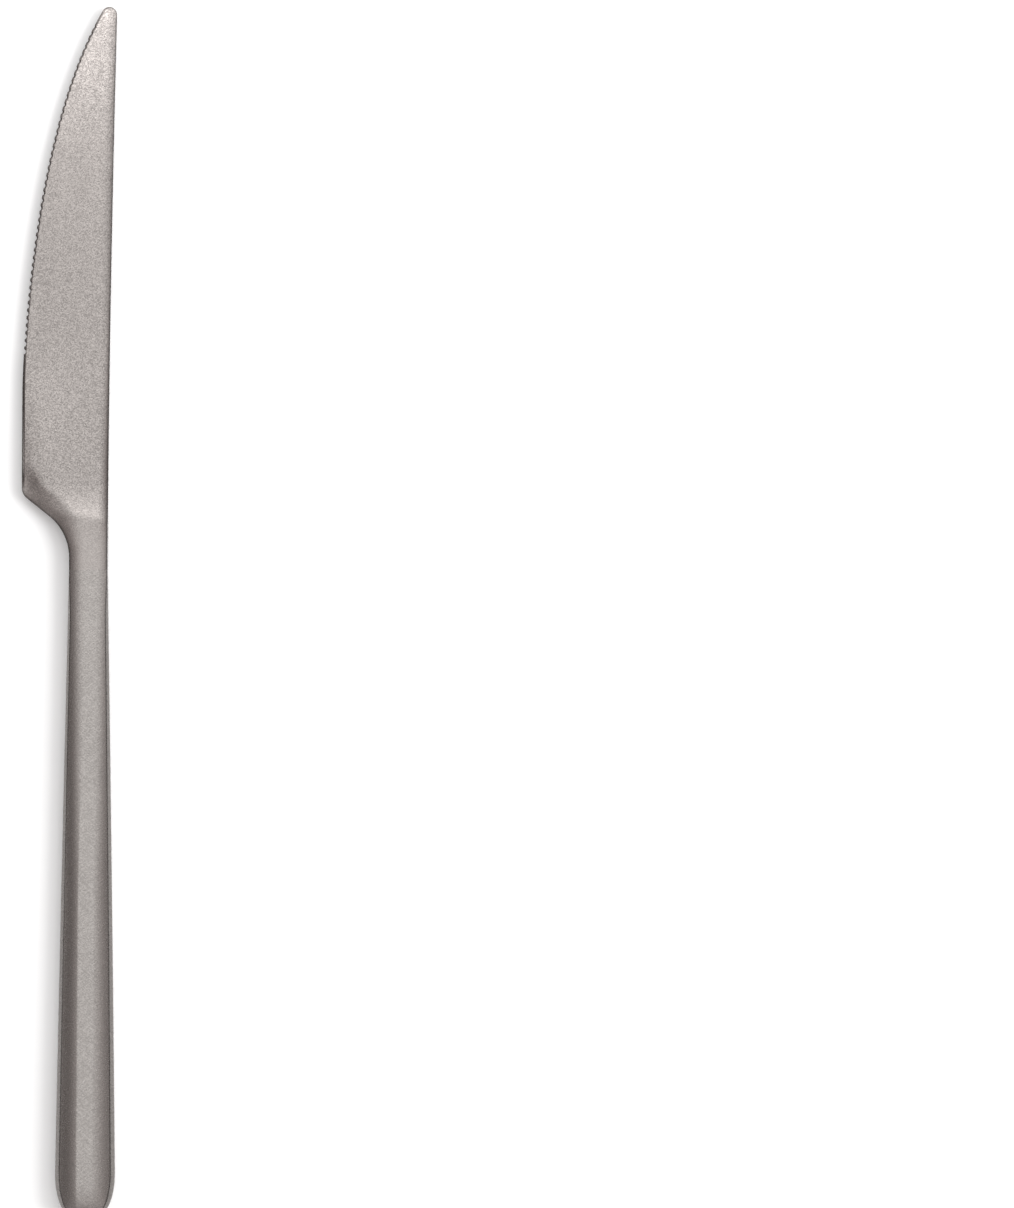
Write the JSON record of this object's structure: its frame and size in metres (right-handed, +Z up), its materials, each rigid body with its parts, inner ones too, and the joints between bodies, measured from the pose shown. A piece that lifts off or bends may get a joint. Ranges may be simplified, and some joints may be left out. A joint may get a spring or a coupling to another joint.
{
  "type": "fruit knife",
  "caption": "Small all-steel fruit knife with a finely serrated belly, a plain heel and a slim bevelled hollow handle, lying on its side.",
  "frame": {"origin": "middle of the lower flat of the handle, on the surface that the knife lies on", "axes": "+Y along the handle towards the tip, the cutting edge towards -X and the spine towards +X, +Z up from the surface"},
  "size_m": [0.0169, 0.2099, 0.006],
  "materials": {
    "blade_steel": "satin",
    "handle_steel": "satin",
    "braze_filler": "satin",
    "handle_cement": "matte"
  },
  "bodies": {
    "root": {"blade": "blade_steel", "handle_shell_upper": "handle_steel", "handle_shell_lower": "handle_steel", "seam_braze": "braze_filler", "neck_braze_ring": "braze_filler", "tang_cement": "handle_cement"}
  },
  "joints": []
}
